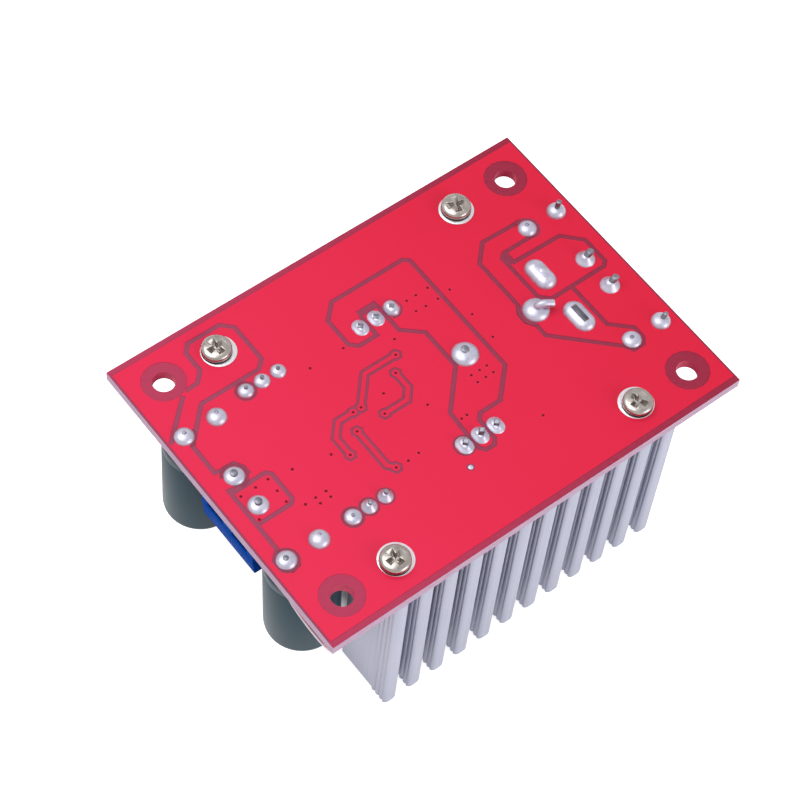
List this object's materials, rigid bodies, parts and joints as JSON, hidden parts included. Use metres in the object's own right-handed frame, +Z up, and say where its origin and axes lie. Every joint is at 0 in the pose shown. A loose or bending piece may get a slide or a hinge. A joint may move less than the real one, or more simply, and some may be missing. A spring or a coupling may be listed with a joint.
{
  "type": "boost converter module",
  "caption": "Step-up DC converter board shown solder side up, standing on its finned heatsinks, with ring inductor, capacitors, screw terminals, trimmers and a blade fuse.",
  "frame": {"origin": "centre of the outline on the plane of the heatsinks' free ends", "axes": "+X along the board towards the fuse end, +Y across it towards the switching transistor, +Z up out of the solder side"},
  "size_m": [0.0658, 0.048, 0.0302],
  "materials": {
    "laminate": "red solder mask over copper and laminate",
    "extruded_aluminium": "clear anodised extrusion",
    "plated_steel": "bright nickel plate",
    "black_moulding": "moulded epoxy",
    "tinned_metal": "tin plate",
    "silicone_sheet": "grey silicone",
    "white_nylon": "moulded nylon",
    "coated_core": "epoxy coated powder core",
    "enamelled_copper": "enamelled copper wire",
    "capacitor_sleeve": "shrink film over an aluminium can",
    "blue_moulding": "moulded",
    "brass_screw": "turned",
    "fuse_moulding": "translucent moulding",
    "tan_ceramic": "fired ceramic",
    "solder": "bright solder"
  },
  "bodies": {
    "module": {"circuit_board": "laminate", "front_heatsink": "extruded_aluminium", "rear_heatsink": "extruded_aluminium", "heatsink_screws": "plated_steel", "heatsink_washers": "plated_steel", "mosfet_screw": "plated_steel", "rectifier_screw": "plated_steel", "mosfet_case": "black_moulding", "rectifier_case": "black_moulding", "control_chip": "black_moulding", "amplifier_chip": "black_moulding", "regulator_chip": "black_moulding", "shunt_resistors": "black_moulding", "chip_resistors": "black_moulding", "mosfet_leadframe": "tinned_metal", "rectifier_leadframe": "tinned_metal", "capacitor_leads": "tinned_metal", "input_terminal_contacts": "tinned_metal", "output_terminal_contacts": "tinned_metal", "front_trimmer_pins": "tinned_metal", "rear_trimmer_pins": "tinned_metal", "fuse_blades": "tinned_metal", "chip_legs": "tinned_metal", "mosfet_insulator": "silicone_sheet", "rectifier_insulator": "silicone_sheet", "mosfet_bush": "white_nylon", "rectifier_bush": "white_nylon", "inductor_core": "coated_core", "inductor_winding": "enamelled_copper", "capacitor_1": "capacitor_sleeve", "capacitor_2": "capacitor_sleeve", "capacitor_3": "capacitor_sleeve", "capacitor_4": "capacitor_sleeve", "input_terminal_housing": "blue_moulding", "output_terminal_housing": "blue_moulding", "front_trimmer_case": "blue_moulding", "rear_trimmer_case": "blue_moulding", "fuse_body": "fuse_moulding", "chip_ceramics": "tan_ceramic", "solder_joints": "solder"},
    "output_screw_1": {"output_clamp_screw_1": "plated_steel"},
    "output_cage_1": {"output_clamp_cage_1": "plated_steel"},
    "output_screw_2": {"output_clamp_screw_2": "plated_steel"},
    "output_cage_2": {"output_clamp_cage_2": "plated_steel"},
    "input_screw_1": {"input_clamp_screw_1": "plated_steel"},
    "input_cage_1": {"input_clamp_cage_1": "plated_steel"},
    "input_screw_2": {"input_clamp_screw_2": "plated_steel"},
    "input_cage_2": {"input_clamp_cage_2": "plated_steel"},
    "rear_adjuster": {"rear_trimmer_adjuster": "brass_screw"},
    "front_adjuster": {"front_trimmer_adjuster": "brass_screw"}
  },
  "joints": [
    {"name": "output_screw_1_turn", "type": "hinge", "parent": "module", "child": "output_screw_1", "pos_m": [-0.0286, -0.00289, 0.0175], "axis": [0, 0, 1], "range_deg": [0, 1368]},
    {"name": "output_cage_1_lift", "type": "slide", "parent": "module", "child": "output_cage_1", "axis": [0, 0, -1], "range_m": [0, 0.0019]},
    {"name": "output_screw_2_turn", "type": "hinge", "parent": "module", "child": "output_screw_2", "pos_m": [-0.0286, 0.00219, 0.0175], "axis": [0, 0, 1], "range_deg": [0, 1368]},
    {"name": "output_cage_2_lift", "type": "slide", "parent": "module", "child": "output_cage_2", "axis": [0, 0, -1], "range_m": [0, 0.0019]},
    {"name": "input_screw_1_turn", "type": "hinge", "parent": "module", "child": "input_screw_1", "pos_m": [0.0286, 0.00219, 0.0175], "axis": [0, 0, 1], "range_deg": [0, 1368]},
    {"name": "input_cage_1_lift", "type": "slide", "parent": "module", "child": "input_cage_1", "axis": [0, 0, -1], "range_m": [0, 0.0019]},
    {"name": "input_screw_2_turn", "type": "hinge", "parent": "module", "child": "input_screw_2", "pos_m": [0.0286, -0.00289, 0.0175], "axis": [0, 0, 1], "range_deg": [0, 1368]},
    {"name": "input_cage_2_lift", "type": "slide", "parent": "module", "child": "input_cage_2", "axis": [0, 0, -1], "range_m": [0, 0.0019]},
    {"name": "rear_adjuster_turn", "type": "hinge", "parent": "module", "child": "rear_adjuster", "pos_m": [-0.01469, 0.0115, 0.0165], "axis": [0, 0, 1], "continuous": true},
    {"name": "front_adjuster_turn", "type": "hinge", "parent": "module", "child": "front_adjuster", "pos_m": [-0.01469, -0.01105, 0.0165], "axis": [0, 0, 1], "continuous": true}
  ],
  "couplings": [
    {"joint": "output_screw_1_turn", "follows": "output_cage_1_lift", "rad_per_m": 12566},
    {"joint": "output_screw_2_turn", "follows": "output_cage_2_lift", "rad_per_m": 12566},
    {"joint": "input_screw_1_turn", "follows": "input_cage_1_lift", "rad_per_m": 12566},
    {"joint": "input_screw_2_turn", "follows": "input_cage_2_lift", "rad_per_m": 12566}
  ]
}
